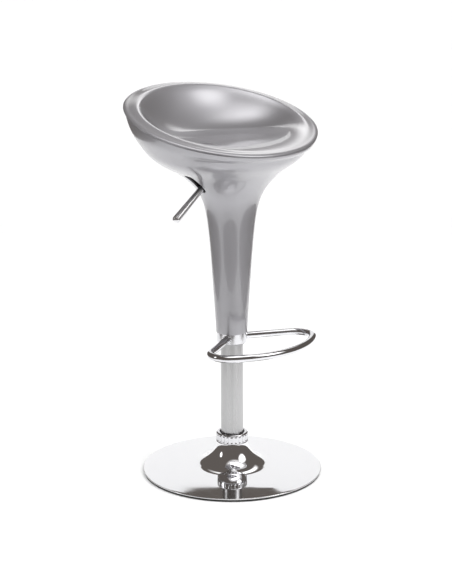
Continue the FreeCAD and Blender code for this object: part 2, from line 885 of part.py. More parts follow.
def make_lever():
    """Bent release rod with a pierced eye at its pivot, and the tapered grip on its outer end."""
    drop = "(sizes.lever_reach - sizes.lever_knee) * tan(sizes.lever_slope)"
    tip = V(size("sizes.lever_tip"), 0, size("sizes.lever_height"))
    knee = V(-size("sizes.lever_knee"), 0, size("sizes.lever_height"))
    end = V(-size("sizes.lever_reach"), 0, size(f"sizes.lever_height - {drop}"))
    first, middle, last = tangent_points(tip, knee, end, size("sizes.knee_radius"))
    spine = doc.addObject("Part::Feature", "lever_spine")
    edges = [Part.LineSegment(tip, first), Part.Arc(first, middle, last), Part.LineSegment(last, end)]
    spine.Shape = Part.Wire([e.toShape() for e in edges])
    section = primitive("Part::Circle", "lever_section", Radius="sizes.lever_radius")
    section.Placement = FreeCAD.Placement(tip, FreeCAD.Rotation(V(0, 1, 0), -HALF_TURN / 2))
    rod = doc.addObject("Part::Sweep", "lever_sweep")
    rod.Sections = [section]
    rod.Spine = (spine, [f"Edge{i + 1}" for i in range(len(edges))])
    rod.Solid = True
    eye = cross_cylinder("lever_eye", "sizes.eye_radius", "-sizes.lever_radius", "sizes.lever_radius")
    bore = "sizes.pivot_radius + sizes.running_gap"
    pierced = cross_cylinder("lever_eye_hole", bore, "-sizes.eye_radius", "sizes.eye_radius")
    keep("lever_rod", cut("lever_pierced", fuse("lever_with_eye", [rod, eye]), pierced))
    grip = turned(
        "lever_grip",
        [
            ("sizes.lever_radius", "0"),
            ("sizes.grip_root", "0", "sizes.grip_root_round"),
            ("sizes.grip_end", "sizes.grip_length", "sizes.grip_round"),
            ("0", "sizes.grip_length"),
            ("0", "sizes.grip_bore_depth"),
            ("sizes.lever_radius", "sizes.grip_bore_depth"),
        ],
    )
    start_x = size("-sizes.grip_start")
    grip_drop = "(sizes.grip_start - sizes.lever_knee) * tan(sizes.lever_slope)"
    start_z = size(f"sizes.lever_height - {grip_drop}")
    lean = -(HALF_TURN / 2 + size("sizes.lever_slope"))
    grip.Placement = FreeCAD.Placement(V(start_x, 0, start_z), FreeCAD.Rotation(V(0, 1, 0), lean))


# ---- footrest -------------------------------------------------------------------------------


def footrest_curves():
    """The loop's centre line in plan: arm, bend, front bow, bend, arm."""
    turn = math.radians(size("sizes.arm_angle"))
    arm, bend, bow = size("sizes.arm_length"), size("sizes.bend_radius"), size("sizes.front_radius")
    height = size("sizes.collar_mid")
    along = V(math.sin(turn), -math.cos(turn), 0)
    forward = V(-math.cos(turn), -math.sin(turn), 0)
    centre = along * arm + forward * bend
    bow_y = centre.y + math.sqrt((bow - bend) ** 2 - centre.x**2)
    bow_centre = V(0, bow_y, 0)
    outward = (centre - bow_centre).normalize()
    half_way = (outward - forward).normalize()
    start = along * size("sizes.arm_start")

    def right(point):
        return V(point.x, point.y, height)

    def left(point):
        return V(-point.x, point.y, height)

    arm_end, bend_mid, bend_end = along * arm, centre + half_way * bend, centre + outward * bend
    front = V(0, bow_y - bow, 0)
    return [
        Part.LineSegment(right(start), right(arm_end)),
        Part.Arc(right(arm_end), right(bend_mid), right(bend_end)),
        Part.Arc(right(bend_end), right(front), left(bend_end)),
        Part.Arc(left(bend_end), left(bend_mid), left(arm_end)),
        Part.LineSegment(left(arm_end), left(start)),
    ]


def make_grub_screws():
    """Threaded holes through collar and sleeve, and the sunk hex-socket screws in them."""
    lying = FreeCAD.Rotation(V(0, 1, 0), HALF_TURN / 2)
    middle = size("sizes.collar_mid")
    screw_in, screw_out = size("sizes.sleeve_bore"), size("sizes.collar_radius - sizes.grub_sunk")
    holes, grubs = [], []

    def outward(made, start, turn):
        around = FreeCAD.Placement(V(), FreeCAD.Rotation(Z_AXIS, turn))
        made.Placement = around.multiply(FreeCAD.Placement(V(start, 0, middle), lying))
        return made

    for i, turn in enumerate(GRUB_ANGLES):
        hole = primitive(
            "Part::Cylinder",
            f"grub_hole{i}",
            Radius="sizes.grub_radius",
            Height="sizes.column_radius",
        )
        holes.append(outward(hole, size("sizes.column_radius"), turn))
        screw = primitive(
            "Part::Cylinder",
            f"grub_blank{i}",
            Radius="sizes.grub_radius",
            Height="sizes.collar_radius - sizes.grub_sunk - sizes.sleeve_bore",
        )
        outward(screw, screw_in, turn)
        hexagon = primitive(
            "Part::Prism",
            f"grub_socket{i}",
            Circumradius="sizes.hex_radius",
            Height="sizes.hex_depth + sizes.overcut",
        )
        outward(hexagon, screw_out - size("sizes.hex_depth"), turn)
        grubs.append(cut(f"grub{i}", screw, hexagon))
    return fuse("collar_holes", holes), grubs


def make_footrest():
    curves = footrest_curves()
    spine = doc.addObject("Part::Feature", "footrest_spine")
    spine.Shape = Part.Wire([c.toShape() for c in curves])
    start = curves[0].StartPoint
    heading = (curves[0].EndPoint - start).normalize()
    sweeps = []
    for name, radius in (("outside", "sizes.tube_radius"), ("inside", "sizes.tube_bore")):
        section = primitive("Part::Circle", f"footrest_{name}_section", Radius=radius)
        section.Placement = FreeCAD.Placement(start, FreeCAD.Rotation(Z_AXIS, heading))
        sweep = doc.addObject("Part::Sweep", f"footrest_{name}")
        sweep.Sections = [section]
        sweep.Spine = (spine, [f"Edge{i + 1}" for i in range(len(curves))])
        sweep.Solid = True
        sweeps.append(sweep)
    tube = cut("footrest_tube", sweeps[0], sweeps[1])
    low = "sizes.collar_mid - sizes.collar_height / 2"
    high = "sizes.collar_mid + sizes.collar_height / 2"
    cope = primitive(
        "Part::Cylinder",
        "footrest_cope",
        Radius="sizes.collar_radius",
        Height="sizes.collar_height",
        Placement__Base__z=low,
    )
    keep("footrest_loop", cut("footrest_coped", tube, cope))
    collar = turned_body(
        "collar_blank",
        [
            ("sizes.collar_bore", low),
            ("sizes.collar_radius", low, "sizes.collar_rounding"),
            ("sizes.collar_radius", high),
            ("sizes.collar_bore", high),
        ],
    )
    sleeve_corners = ring_corners("sizes.sleeve_bore", "sizes.collar_bore", low, "sizes.sleeve_high")
    sleeve = turned_body("sleeve_blank", sleeve_corners)
    holes, grubs = make_grub_screws()
    keep("footrest_collar", cut("collar_pierced", collar, holes))
    keep("guide_sleeve", cut("sleeve_pierced", sleeve, holes))
    keep("collar_grub_screws", group("grub_group", grubs))
    slide = "sizes.column_radius + sizes.slide_gap"
    lip = "sizes.collar_bore - sizes.slide_step"
    turned(
        "column_slide_bush",
        [
            (slide, f"{low} - sizes.slide_lip"),
            (lip, f"{low} - sizes.slide_lip", "sizes.collar_rounding"),
            (lip, low),
            ("sizes.sleeve_bore", low),
            ("sizes.sleeve_bore", "sizes.slide_high"),
            (slide, "sizes.slide_high"),
        ],
    )


# ---- seat and bell shells -------------------------------------------------------------------


def ellipse(name, half_width, half_depth, centre_y, height, tilt):
    """An ellipse tilted about X. Its half depth is measured in plan."""
    made = primitive(
        "Part::Ellipse",
        name,
        MajorRadius=half_width,
        MinorRadius=f"({half_depth}) / cos({tilt})",
    )
    made.Placement = FreeCAD.Placement(V(), FreeCAD.Rotation(V(1, 0, 0), 1.0))
    return bind(
        made,
        Placement__Base__y=centre_y,
        Placement__Base__z=height,
        Placement__Rotation__Angle=tilt,
    )


def loft(name, sections, ruled=False):
    made = doc.addObject("Part::Loft", name)
    made.Sections = sections
    made.Solid = True
    made.Ruled = ruled
    return made


def station_ring(family, i):
    """Half width, half depth, centre Y, centre height and tilt of a seat ring, as expressions."""
    width, front_y, front_z, back_y, back_z = (f"sizes.{family}_{part}_{i}_" for part in STATION_PARTS)
    return (
        width,
        f"({back_y} - {front_y}) / 2",
        f"({back_y} + {front_y}) / 2",
        f"({back_z} + {front_z}) / 2",
        f"atan(({back_z} - {front_z}) / ({back_y} - {front_y}))",
    )


SEAM_WIDTH, SEAM_DEPTH, SEAM_CENTRE, SEAM_HEIGHT, SEAM_TILT = station_ring("rim", 0)


def bell_cells(i):
    """Height and mean radius of bell station i; the last station is the seam."""
    if i < len(BELL_STATIONS):
        return f"sizes.bell_height_{i}_", f"sizes.bell_radius_{i}_"
    return SEAM_HEIGHT, f"(({SEAM_WIDTH} + {SEAM_DEPTH}) / 2)"


def bell_section(name, i, inset, lift):
    """One ring of the bell: round at the mouth, and of the rim's own width, depth and tilt at the seam."""
    height, radius = bell_cells(i)
    mouth = bell_cells(0)[1]
    rim = bell_cells(len(BELL_STATIONS))[1]
    share = f"(({radius} - {mouth}) / ({rim} - {mouth}))"
    ratio = f"(1 + ({SEAM_WIDTH} / ({SEAM_DEPTH}) - 1) * {share} ^ 0.54)"
    depth = f"2 * {radius} / (1 + {ratio})"
    return ellipse(
        name,
        f"{ratio} * {depth} - {inset}",
        f"{depth} - {inset}",
        f"{SEAM_CENTRE} * sin(90 * {share} ^ 2.5) ^ 2",
        f"{height} + {lift}",
        f"{SEAM_TILT} * {share} ^ 5.8",
    )


def make_bell():
    last = len(BELL_STATIONS)
    outer = [bell_section(f"bell_out{i}", i, "0", "0") for i in range(last + 1)]
    inner = []
    for i in range(last + 1):
        below, above = bell_cells(max(i - 1, 0)), bell_cells(min(i + 1, last))
        lean = f"atan(({above[1]} - {below[1]}) / ({above[0]} - {below[0]}))"
        wall = "sizes.neck_wall" if i == 0 else "sizes.shell_wall"
        if i in (0, last):
            inner.append(bell_section(f"bell_in{i}", i, wall, "0"))
        else:
            inner.append(bell_section(f"bell_in{i}", i, f"{wall} * cos({lean})", f"{wall} * sin({lean})"))
    hollow = cut("bell_hollow", loft("bell_outside", outer), loft("bell_inside", inner))
    keep("bell_shell", cut("bell_slotted", hollow, make_lever_slot()))


def make_lever_slot():
    """Round-ended slot through the bell wall for the lever, square to the wall."""
    reach = "60"
    block = primitive(
        "Part::Box",
        "slot_block",
        Length="2 * (sizes.slot_half_length - sizes.slot_half_width)",
        Width="2 * sizes.slot_half_width",
        Height=reach,
        Placement__Base__x="-(sizes.slot_half_length - sizes.slot_half_width)",
        Placement__Base__y="-sizes.slot_half_width",
        Placement__Base__z=f"-{reach} / 2",
    )
    ends = [
        primitive(
            "Part::Cylinder",
            f"slot_{name}_end",
            Radius="sizes.slot_half_width",
            Height=reach,
            Placement__Base__x=f"{sign} * (sizes.slot_half_length - sizes.slot_half_width)",
            Placement__Base__z=f"-{reach} / 2",
        )
        for name, sign in (("lower", 1), ("upper", -1))
    ]
    slot = fuse("lever_slot", [block, *ends])
    slot.Placement = FreeCAD.Placement(V(), FreeCAD.Rotation(V(0, 1, 0), 1.0))
    return bind(
        slot,
        Placement__Base__x="-sizes.slot_x",
        Placement__Base__z="sizes.slot_z",
        Placement__Rotation__Angle="sizes.slot_slope",
    )


def seat_ring(name, family, i, spread, lift):
    """A ring of the seat shell, moved outwards by spread and up by lift."""
    width, depth, centre, height, tilt = station_ring(family, i)
    return ellipse(name, f"{width} + {spread}", f"({depth}) + {spread}", centre, f"{height} + {lift}", tilt)


def bolt_places(height):
    """Placement of something at each of the four seat bolts."""
    return [
        {
            "Placement__Base__x": f"{a} * sizes.bolt_half",
            "Placement__Base__y": f"{b} * sizes.bolt_half",
            "Placement__Base__z": height,
        }
        for a, b in CORNERS
    ]


def close_skin(name, rims, dishes):
    """Joins the sides of the rim and dish lofts, a floor and a seam face into one hollow-walled solid."""
    doc.recompute()
    faces, seams = [], []
    for made in rims + dishes:
        flat = [f for f in made.Shape.Faces if isinstance(f.Surface, Part.Plane)]
        faces += [f for f in made.Shape.Faces if not isinstance(f.Surface, Part.Plane)]
        lowest = min(flat, key=lambda f: f.CenterOfMass.z)
        if made in dishes:
            faces.append(lowest)
        else:
            seams.append(lowest)
    faces.append(seams[0].cut(seams[1]).Faces[0])
    sewn = Part.Compound(faces)
    sewn.sewShape(SEW)
    skin = doc.addObject("Part::Feature", name)
    skin.Shape = Part.Solid(sewn.Shells[0])
    return skin


def make_seat():
    """Upper shell: rolled rim outside, dished seat inside, and four bosses under its floor."""
    wall = "sizes.shell_wall"
    crest = len(RIM_STATIONS) - 1
    floor = len(BOWL_STATIONS) - 1
    outside = [seat_ring(f"rim_out{i}", "rim", i, "0", "0") for i in range(crest + 1)]
    under_rim = []
    for i in range(crest):
        drop = min(i / WALL_TURN, 1)
        inset = min((crest - i) / (crest - WALL_TURN), 1)
        under_rim.append(seat_ring(f"rim_in{i}", "rim", i, f"-{wall} * {inset}", f"-{wall} * {drop}"))
    corner = seat_ring("rim_in_corner", "bowl", 0, f"{wall} / 4", f"-{wall}")
    under_rim.append(corner)
    dish = [seat_ring(f"bowl_in{i}", "bowl", i, "0", "0") for i in range(floor, -1, -1)]
    under_dish = []
    for i in range(floor, 0, -1):
        steep = f"sin({HALF_TURN * i / floor})"
        drop = f"-{wall} * (1 - {STEEP_LIFT} * {steep})"
        under_dish.append(seat_ring(f"bowl_out{i}", "bowl", i, f"{wall} * {steep}", drop))
    under_dish.append(corner)
    skin = close_skin(
        "seat_skin",
        rims=[loft("rim_outside", outside), loft("rim_inside", under_rim)],
        dishes=[loft("bowl_inside", dish), loft("bowl_outside", under_dish)],
    )
    bosses, insert_holes = [], []
    boss_height = f"sizes.bowl_front_z_{floor}_ - sizes.plate_high"
    for i, place in enumerate(bolt_places("sizes.plate_high")):
        bosses.append(
            primitive("Part::Cylinder", f"boss{i}", Radius="sizes.boss_radius", Height=boss_height, **place)
        )
        insert_holes.append(
            primitive(
                "Part::Cylinder",
                f"insert_hole{i}",
                Radius="sizes.insert_radius",
                Height="sizes.insert_length",
                **place,
            )
        )
    whole = fuse("seat_solid", [skin, *bosses])
    keep("seat_shell", cut("seat_with_holes", whole, fuse("insert_holes", insert_holes)))


def four_tubes(name, outer, bore, low, height):
    """One ring at each of the four seat bolts."""
    blanks, bores = bolt_places(low), bolt_places(f"{low} - sizes.overcut")
    tubes = []
    for i, (place, bore_place) in enumerate(zip(blanks, bores)):
        blank = primitive("Part::Cylinder", f"{name}_blank{i}", Radius=outer, Height=height, **place)
        hole = primitive(
            "Part::Cylinder",
            f"{name}_bore{i}",
            Radius=bore,
            Height=f"{height} + 2 * sizes.overcut",
            **bore_place,
        )
        tubes.append(cut(f"{name}{i}", blank, hole))
    return group(f"{name}_group", tubes)


def make_seat_fasteners():
    head_top = "sizes.plate_high - sizes.plate_sheet - sizes.washer_thick"
    insert_bore = "sizes.screw_radius + sizes.insert_gap"
    washer_bore = "sizes.screw_radius + sizes.washer_gap"
    keep(
        "seat_inserts",
        four_tubes("insert", "sizes.insert_radius", insert_bore, "sizes.plate_high", "sizes.insert_length"),
    )
    keep(
        "seat_washers",
        four_tubes("washer", "sizes.washer_radius", washer_bore, head_top, "sizes.washer_thick"),
    )
    heads, shanks = bolt_places(f"{head_top} - sizes.head_height"), bolt_places(head_top)
    screws = []
    for i, (head_place, shank_place) in enumerate(zip(heads, shanks)):
        head = primitive(
            "Part::Prism",
            f"head{i}",
            Circumradius="sizes.screw_head",
            Height="sizes.head_height",
            **head_place,
        )
        shank = primitive(
            "Part::Cylinder",
            f"shank{i}",
            Radius="sizes.screw_radius",
            Height="sizes.screw_length",
            **shank_place,
        )
        screws.append(fuse(f"screw{i}", [head, shank]))
    keep("seat_screws", group("screw_group", screws))


def check_and_export():
    """Stops on a failed object or a bad shape, then writes one STEP file per sub-part."""
    doc.recompute()
    failed = [o.Name for o in doc.Objects if "Invalid" in o.State or "Error" in o.State]
    assert not failed, f"failed objects: {failed}"
    os.makedirs("parts", exist_ok=True)
    for stale in os.listdir("parts"):
        os.remove(os.path.join("parts", stale))
    for label, made in parts.items():
        shape = made.Shape
        assert not shape.isNull() and shape.isValid() and shape.Solids, f"{label} has no valid solid"
        box = shape.BoundBox
        print(
            f"{label:20s} solids {len(shape.Solids):2d} volume {shape.Volume / 1000:8.2f} cm3"
            f" x {box.XMin:.1f}..{box.XMax:.1f} y {box.YMin:.1f}..{box.YMax:.1f}"
            f" z {box.ZMin:.2f}..{box.ZMax:.2f}"
        )
        shape.exportStep(f"parts/{label}.step")


fill_sheet()
make_base()
make_column()
make_bearing()
make_rod()
make_gas_spring()
make_plate()
make_bridge()
make_pivot()
make_lever()
make_footrest()
make_bell()
make_seat()
make_seat_fasteners()
check_and_export()
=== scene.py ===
import json
import math

import bpy
import numpy as np
from mathutils import Matrix, Vector
from mathutils.kdtree import KDTree


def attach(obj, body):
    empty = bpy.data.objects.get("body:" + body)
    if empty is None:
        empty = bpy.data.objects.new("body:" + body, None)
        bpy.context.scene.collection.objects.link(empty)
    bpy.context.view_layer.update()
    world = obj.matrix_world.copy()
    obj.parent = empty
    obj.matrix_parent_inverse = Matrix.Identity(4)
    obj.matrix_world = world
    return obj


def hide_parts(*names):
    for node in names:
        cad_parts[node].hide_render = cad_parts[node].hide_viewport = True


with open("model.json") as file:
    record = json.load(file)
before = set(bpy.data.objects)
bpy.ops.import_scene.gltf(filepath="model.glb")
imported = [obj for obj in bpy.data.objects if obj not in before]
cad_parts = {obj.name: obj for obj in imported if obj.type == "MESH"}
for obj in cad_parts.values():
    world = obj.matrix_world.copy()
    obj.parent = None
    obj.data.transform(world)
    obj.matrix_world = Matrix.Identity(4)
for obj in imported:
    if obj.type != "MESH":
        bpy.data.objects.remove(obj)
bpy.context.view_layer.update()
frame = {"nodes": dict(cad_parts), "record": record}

NODES = frame["nodes"]
MM = 0.001
TAU = 2 * math.pi
UPWARD = Vector((0, 0, 1))

# ---- sizes, in mm ---------------------------------------------------------------------------

# Rings of the seat shell: half width, front Y, front Z, back Y and back Z.
# The rim runs from the seam with the bell, over the roll, to the inner edge of its flange.
RIM_RINGS = [
    (231.9, -147.0, 724.5, 197.0, 848.0),
    (233.9, -146.3, 728.0, 199.5, 850.6),
    (231.5, -144.0, 730.2, 197.5, 852.1),
    (223.0, -139.0, 732.4, 190.0, 852.4),
    (213.0, -133.0, 734.6, 179.5, 852.0),
    (203.0, -126.5, 736.8, 168.0, 851.0),
]
# The dish runs from the flange's inner edge down to its floor.
DISH_RINGS = [
    (203.0, -126.5, 736.8, 168.0, 851.0),
    (194.0, -112.0, 740.2, 160.5, 839.0),
    (184.0, -97.0, 742.7, 152.5, 822.0),
    (173.0, -84.0, 744.3, 143.5, 804.0),
    (160.0, -72.0, 745.3, 132.5, 786.5),
    (143.0, -60.0, 745.9, 118.5, 770.5),
    (123.0, -48.0, 746.2, 102.0, 758.5),
    (100.0, -36.0, 746.2, 83.0, 751.0),
    (76.0, -24.0, 746.0, 63.0, 747.5),
    (50.0, -12.0, 745.8, 41.0, 746.0),
    (22.0, 0.0, 745.6, 18.0, 745.6),
]
# Rings of the bell: height and mean radius, from the mouth at the collar up towards the seam.
BELL_RINGS = [
    (321.0, 34.4),
    (372.0, 37.2),
    (422.0, 40.4),
    (468.0, 43.4),
    (512.0, 46.4),
    (552.0, 50.1),
    (586.0, 54.6),
    (614.0, 61.5),
    (637.0, 72.6),
    (657.0, 88.5),
    (676.0, 109.9),
    (693.0, 137.2),
    (714.0, 163.0),
    (738.0, 180.4),
    (762.0, 194.6),
]
COLUMNS = 256
RIM_STEPS, DISH_STEPS, BELL_STEPS = 60, 120, 190
WALL, NECK_WALL = 4.0, 3.5
SEAM_GAP, SEAM_EDGE, MOUTH_EDGE = 0.35, 0.9, 0.6
FLANGE_CORNER = 4.0
# How late the bell turns oval, moves back and tilts as it widens, as powers of how far it has widened.
OVAL_RISE, BACK_RISE, TILT_RISE = 0.54, 2.5, 5.8

# Bosses under the seat, this far to each side of its middle.
BOSS_OFFSET = 42.0
BOSS_OUTLINE = [(6.0, 691.0), (11.0, 691.0), (11.0, 736.0), (6.0, 736.0)]

# The lever's slot: its middle, its tilt, half its length and width, how deep the cut reaches to each
# side of the wall, and how far round it the skin's shading is repaired.
SLOT_MIDDLE = Vector((-102.0, 0.0, 664.0))
SLOT_TILT = math.radians(44.0)
SLOT_HALF_LENGTH, SLOT_HALF_WIDTH, SLOT_DEPTH = 33.0, 10.0, 30.0
SLOT_SURROUND = 70.0

# Outlines of turned pieces: radius, height and, where a corner is rounded, its rounding.
BASE_OUTLINE = [
    (33.5, 78.0),
    (36.5, 20.4, 60.0),
    (150.0, 12.1, 1500.0),
    (200.0, 7.2, 1.1),
    (200.0, 4.7, 1.1),
    (150.0, 9.6, 1500.0),
    (34.0, 17.9, 62.5),
    (31.0, 78.0),
]
FLOOR_RING_OUTLINE = [(188.0, 0.0, 0.8), (198.5, 0.0, 1.2), (198.5, 4.8), (188.0, 5.7)]
COLUMN_OUTLINE = [(22.4, 14.0), (24.2, 14.0), (25.0, 78.0), (25.0, 400.0, 0.6), (22.4, 400.0)]
KNURL_OUTLINE = [
    (27.0, 78.0),
    (34.3, 78.0),
    (34.3, 68.0),
    (35.7, 68.0, 0.5),
    (35.7, 90.0, 4.0),
    (27.0, 90.0, 2.2),
]
GRIP_OUTLINE = [
    (4.0, 0.0),
    (6.0, 0.0, 1.0),
    (8.3, 116.0, 7.4),
    (0.0, 116.0),
    (0.0, 98.0),
    (4.0, 98.0),
]

# Flutes of the knurled ring: how many, the circle their centres lie on, their radius, their ends,
# the length over which they fade out, and the radius beyond which the ring's skin has them.
FLUTES, FLUTE_CIRCLE, FLUTE_RADIUS = 24, 38.0, 3.4
FLUTE_LOW, FLUTE_HIGH, FLUTE_FADE = 71.0, 85.5, 1.4
FLUTED_SKIN = 35.0
FLUTE_COLUMNS = 18

# Footrest: two straight arms, a bend at the end of each, and a bow that joins them.
FOOTREST_HEIGHT, FOOTREST_TUBE, COLLAR_RADIUS = 310.0, 8.0, 33.2
ARM_TURN, ARM_START, ARM_LENGTH = math.radians(62.0), 31.6, 135.0
BEND_RADIUS, BOW_RADIUS = 38.0, 200.0
BEAD_LIFT, BEAD_SIZE, BEAD_RIPPLE, BEAD_WAVES = 0.3, 1.25, 0.18, 9

# The lever's sleeve starts this far out along X, on a bar that slopes down from its knee.
GRIP_START, LEVER_KNEE = -72.0, -45.2
LEVER_HEIGHT, LEVER_SLOPE = 682.0, math.radians(38.2)

# ---- curves and meshes ----------------------------------------------------------------------


def smooth(stations, count):
    """Natural cubic spline through the stations, spaced by chord length, sampled at count places."""
    stations = np.array(stations, float)
    knots = np.concatenate([[0], np.cumsum(np.linalg.norm(np.diff(stations, axis=0), axis=1))])
    gaps = np.diff(knots)[:, None]
    size = len(knots)
    system = np.eye(size)
    right = np.zeros_like(stations)
    for i in range(1, size - 1):
        before, after = gaps[i - 1, 0], gaps[i, 0]
        system[i, i - 1 : i + 2] = before, 2 * (before + after), after
        rise = (stations[i + 1] - stations[i]) / after - (stations[i] - stations[i - 1]) / before
        right[i] = 6 * rise
    bend = np.linalg.solve(system, right)
    places = np.linspace(0, knots[-1], count)
    span = np.clip(np.searchsorted(knots, places, side="right") - 1, 0, size - 2)
    width = gaps[span]
    low = (knots[span + 1] - places)[:, None]
    high = (places - knots[span])[:, None]
    return (
        bend[span] * low**3 / (6 * width)
        + bend[span + 1] * high**3 / (6 * width)
        + (stations[span] / width - bend[span] * width / 6) * low
        + (stations[span + 1] / width - bend[span + 1] * width / 6) * high
    )


def finish_mesh(obj, crease=40.0):
    """Shades a mesh smooth, apart from edges sharper than crease degrees."""
    obj.data.shade_smooth()
    obj.data.set_sharp_from_angle(angle=math.radians(crease))


def mesh_object(name, points, faces, crease=40.0):
    mesh = bpy.data.meshes.new(name)
    mesh.from_pydata([tuple(p) for p in points], [], faces)
    mesh.validate()
    obj = bpy.data.objects.new(name, mesh)
    bpy.context.scene.collection.objects.link(obj)
    finish_mesh(obj, crease)
    return obj


def grid_faces(rows, columns, closed_rows):
    """Quads between neighbouring rings; every ring closes on itself."""
    faces = []
    for i in range(rows if closed_rows else rows - 1):
        for j in range(columns):
            here, across = i * columns, ((i + 1) % rows) * columns
            nxt = (j + 1) % columns
            faces.append((here + j, here + nxt, across + nxt, across + j))
    return faces


def ring_body(name, rings, crease, closed=False):
    """A skin over rings of points in mm, closed on itself or capped with a fan at both ends."""
    rings = np.array(rings) * MM
    rows, columns = rings.shape[:2]
    faces = grid_faces(rows, columns, closed)
    points = list(rings.reshape(-1, 3))
    if not closed:
        for row, order in ((0, -1), (rows - 1, 1)):
            points.append(rings[row].mean(0))
            hub = len(points) - 1
            for j in range(columns):
                pair = (row * columns + j, row * columns + (j + 1) % columns)[::order]
                faces.append((hub, *pair))
    return mesh_object(name, points, faces, crease)


def rounded(corners, steps, span):
    """Points along an outline of (across, up) or (across, up, rounding) corners, at most span apart if given."""
    found = []
    count = len(corners)
    for i, corner in enumerate(corners):
        here = Vector(corner[:2])
        if len(corner) < 3:
            found.append(here)
            continue
        back = (Vector(corners[i - 1][:2]) - here).normalized()
        on = (Vector(corners[(i + 1) % count][:2]) - here).normalized()
        half = back.angle(on) / 2
        reach = corner[2] / math.tan(half)
        centre = here + (back + on).normalized() * (corner[2] / math.sin(half))
        first, last = here + back * reach - centre, here + on * reach - centre
        turn = first.angle_signed(last)
        for k in range(steps + 1):
            share = -turn * k / steps
            c, s = math.cos(share), math.sin(share)
            found.append(centre + Vector((first.x * c - first.y * s, first.x * s + first.y * c)))
    if not span:
        return found
    fine = []
    for here, after in zip(found, found[1:] + found[:1]):
        parts = max(1, math.ceil((after - here).length / span))
        fine += [here.lerp(after, k / parts) for k in range(parts)]
    return fine


def lathe(name, corners, columns, steps=6, span=None, crease=32.0, shape=None):
    """A ring turned about Z from a closed outline. shape may change the radius by angle and height."""
    angles = np.arange(columns) * TAU / columns
    rings = []
    for point in rounded(corners, steps, span):
        radius = np.full(columns, point.x)
        if shape:
            radius = shape(radius, angles, point.y)
        height = np.full(columns, point.y)
        rings.append(np.stack([radius * np.cos(angles), radius * np.sin(angles), height], 1))
    return ring_body(name, rings, crease, closed=True)


def tube_along(name, path, radius, columns):
    """A round bar along the points of a level path."""
    path = np.array(path, float)
    ahead = np.gradient(path, axis=0)
    ahead /= np.linalg.norm(ahead, axis=1)[:, None]
    side = np.cross(ahead[0], UPWARD)
    angles = np.arange(columns) * TAU / columns
    rings = []
    for point, heading in zip(path, ahead):
        side = side - heading * side.dot(heading)
        side /= np.linalg.norm(side)
        up = np.cross(side, heading)
        circle = np.cos(angles)[:, None] * side + np.sin(angles)[:, None] * up
        rings.append(point + circle * radius)
    return ring_body(name, rings, 40.0)


def join(name, objects):
    """Joins meshes into one piece that keeps its sharp edges."""
    first = objects[0]
    chosen = {"selected_objects": objects, "selected_editable_objects": objects}
    with bpy.context.temp_override(active_object=first, object=first, **chosen):
        bpy.ops.object.join()
    first.name = name
    return first


# ---- materials ------------------------------------------------------------------------------


class Finish:
    """A procedural material: a Principled shader whose colour, gloss and surface vary with noise.

    The noise is in object coordinates, in metres, so that it stays on the piece as it moves.
    """

    def __init__(self, name, color, metallic, roughness, **more):
        self.material = bpy.data.materials.new(name)
        self.material.use_nodes = True
        self.tree = self.material.node_tree
        self.shader = self.tree.nodes["Principled BSDF"]
        self.shader.inputs["Base Color"].default_value = (*color, 1)
        self.shader.inputs["Metallic"].default_value = metallic
        self.shader.inputs["Roughness"].default_value = roughness
        for socket, number in more.items():
            self.shader.inputs[socket.replace("_", " ")].default_value = number

    def noise(self, scale, stretch=(1, 1, 1), detail=2.0):
        place = self.tree.nodes.new("ShaderNodeTexCoord")
        mapping = self.tree.nodes.new("ShaderNodeMapping")
        mapping.inputs["Scale"].default_value = stretch
        texture = self.tree.nodes.new("ShaderNodeTexNoise")
        texture.inputs["Scale"].default_value = scale
        texture.inputs["Detail"].default_value = detail
        self.tree.links.new(place.outputs["Object"], mapping.inputs["Vector"])
        self.tree.links.new(mapping.outputs["Vector"], texture.inputs["Vector"])
        return texture.outputs["Fac"]

    def tint(self, dark, light, scale, **grain):
        """Varies the base colour between two colours."""
        mix = self.tree.nodes.new("ShaderNodeMix")
        mix.data_type = "RGBA"
        first, second = [socket for socket in mix.inputs if socket.type == "RGBA"]
        first.default_value, second.default_value = (*dark, 1), (*light, 1)
        made = next(socket for socket in mix.outputs if socket.type == "RGBA")
        self.tree.links.new(self.noise(scale, **grain), mix.inputs[0])
        self.tree.links.new(made, self.shader.inputs["Base Color"])
        return self

    def gloss(self, low, high, scale, **grain):
        """Varies the roughness between low and high."""
        ramp = self.tree.nodes.new("ShaderNodeMapRange")
        ramp.inputs["From Min"].default_value = 0.35
        ramp.inputs["From Max"].default_value = 0.65
        ramp.inputs["To Min"].default_value = low
        ramp.inputs["To Max"].default_value = high
        self.tree.links.new(self.noise(scale, **grain), ramp.inputs["Value"])
        self.tree.links.new(ramp.outputs["Result"], self.shader.inputs["Roughness"])
        return self

    def bump(self, distance, strength, scale, **grain):
        """Roughens the surface by distance, in metres."""
        made = self.tree.nodes.new("ShaderNodeBump")
        made.inputs["Strength"].default_value = strength
        made.inputs["Distance"].default_value = distance
        self.tree.links.new(self.noise(scale, **grain), made.inputs["Height"])
        self.tree.links.new(made.outputs["Normal"], self.shader.inputs["Normal"])
        return self


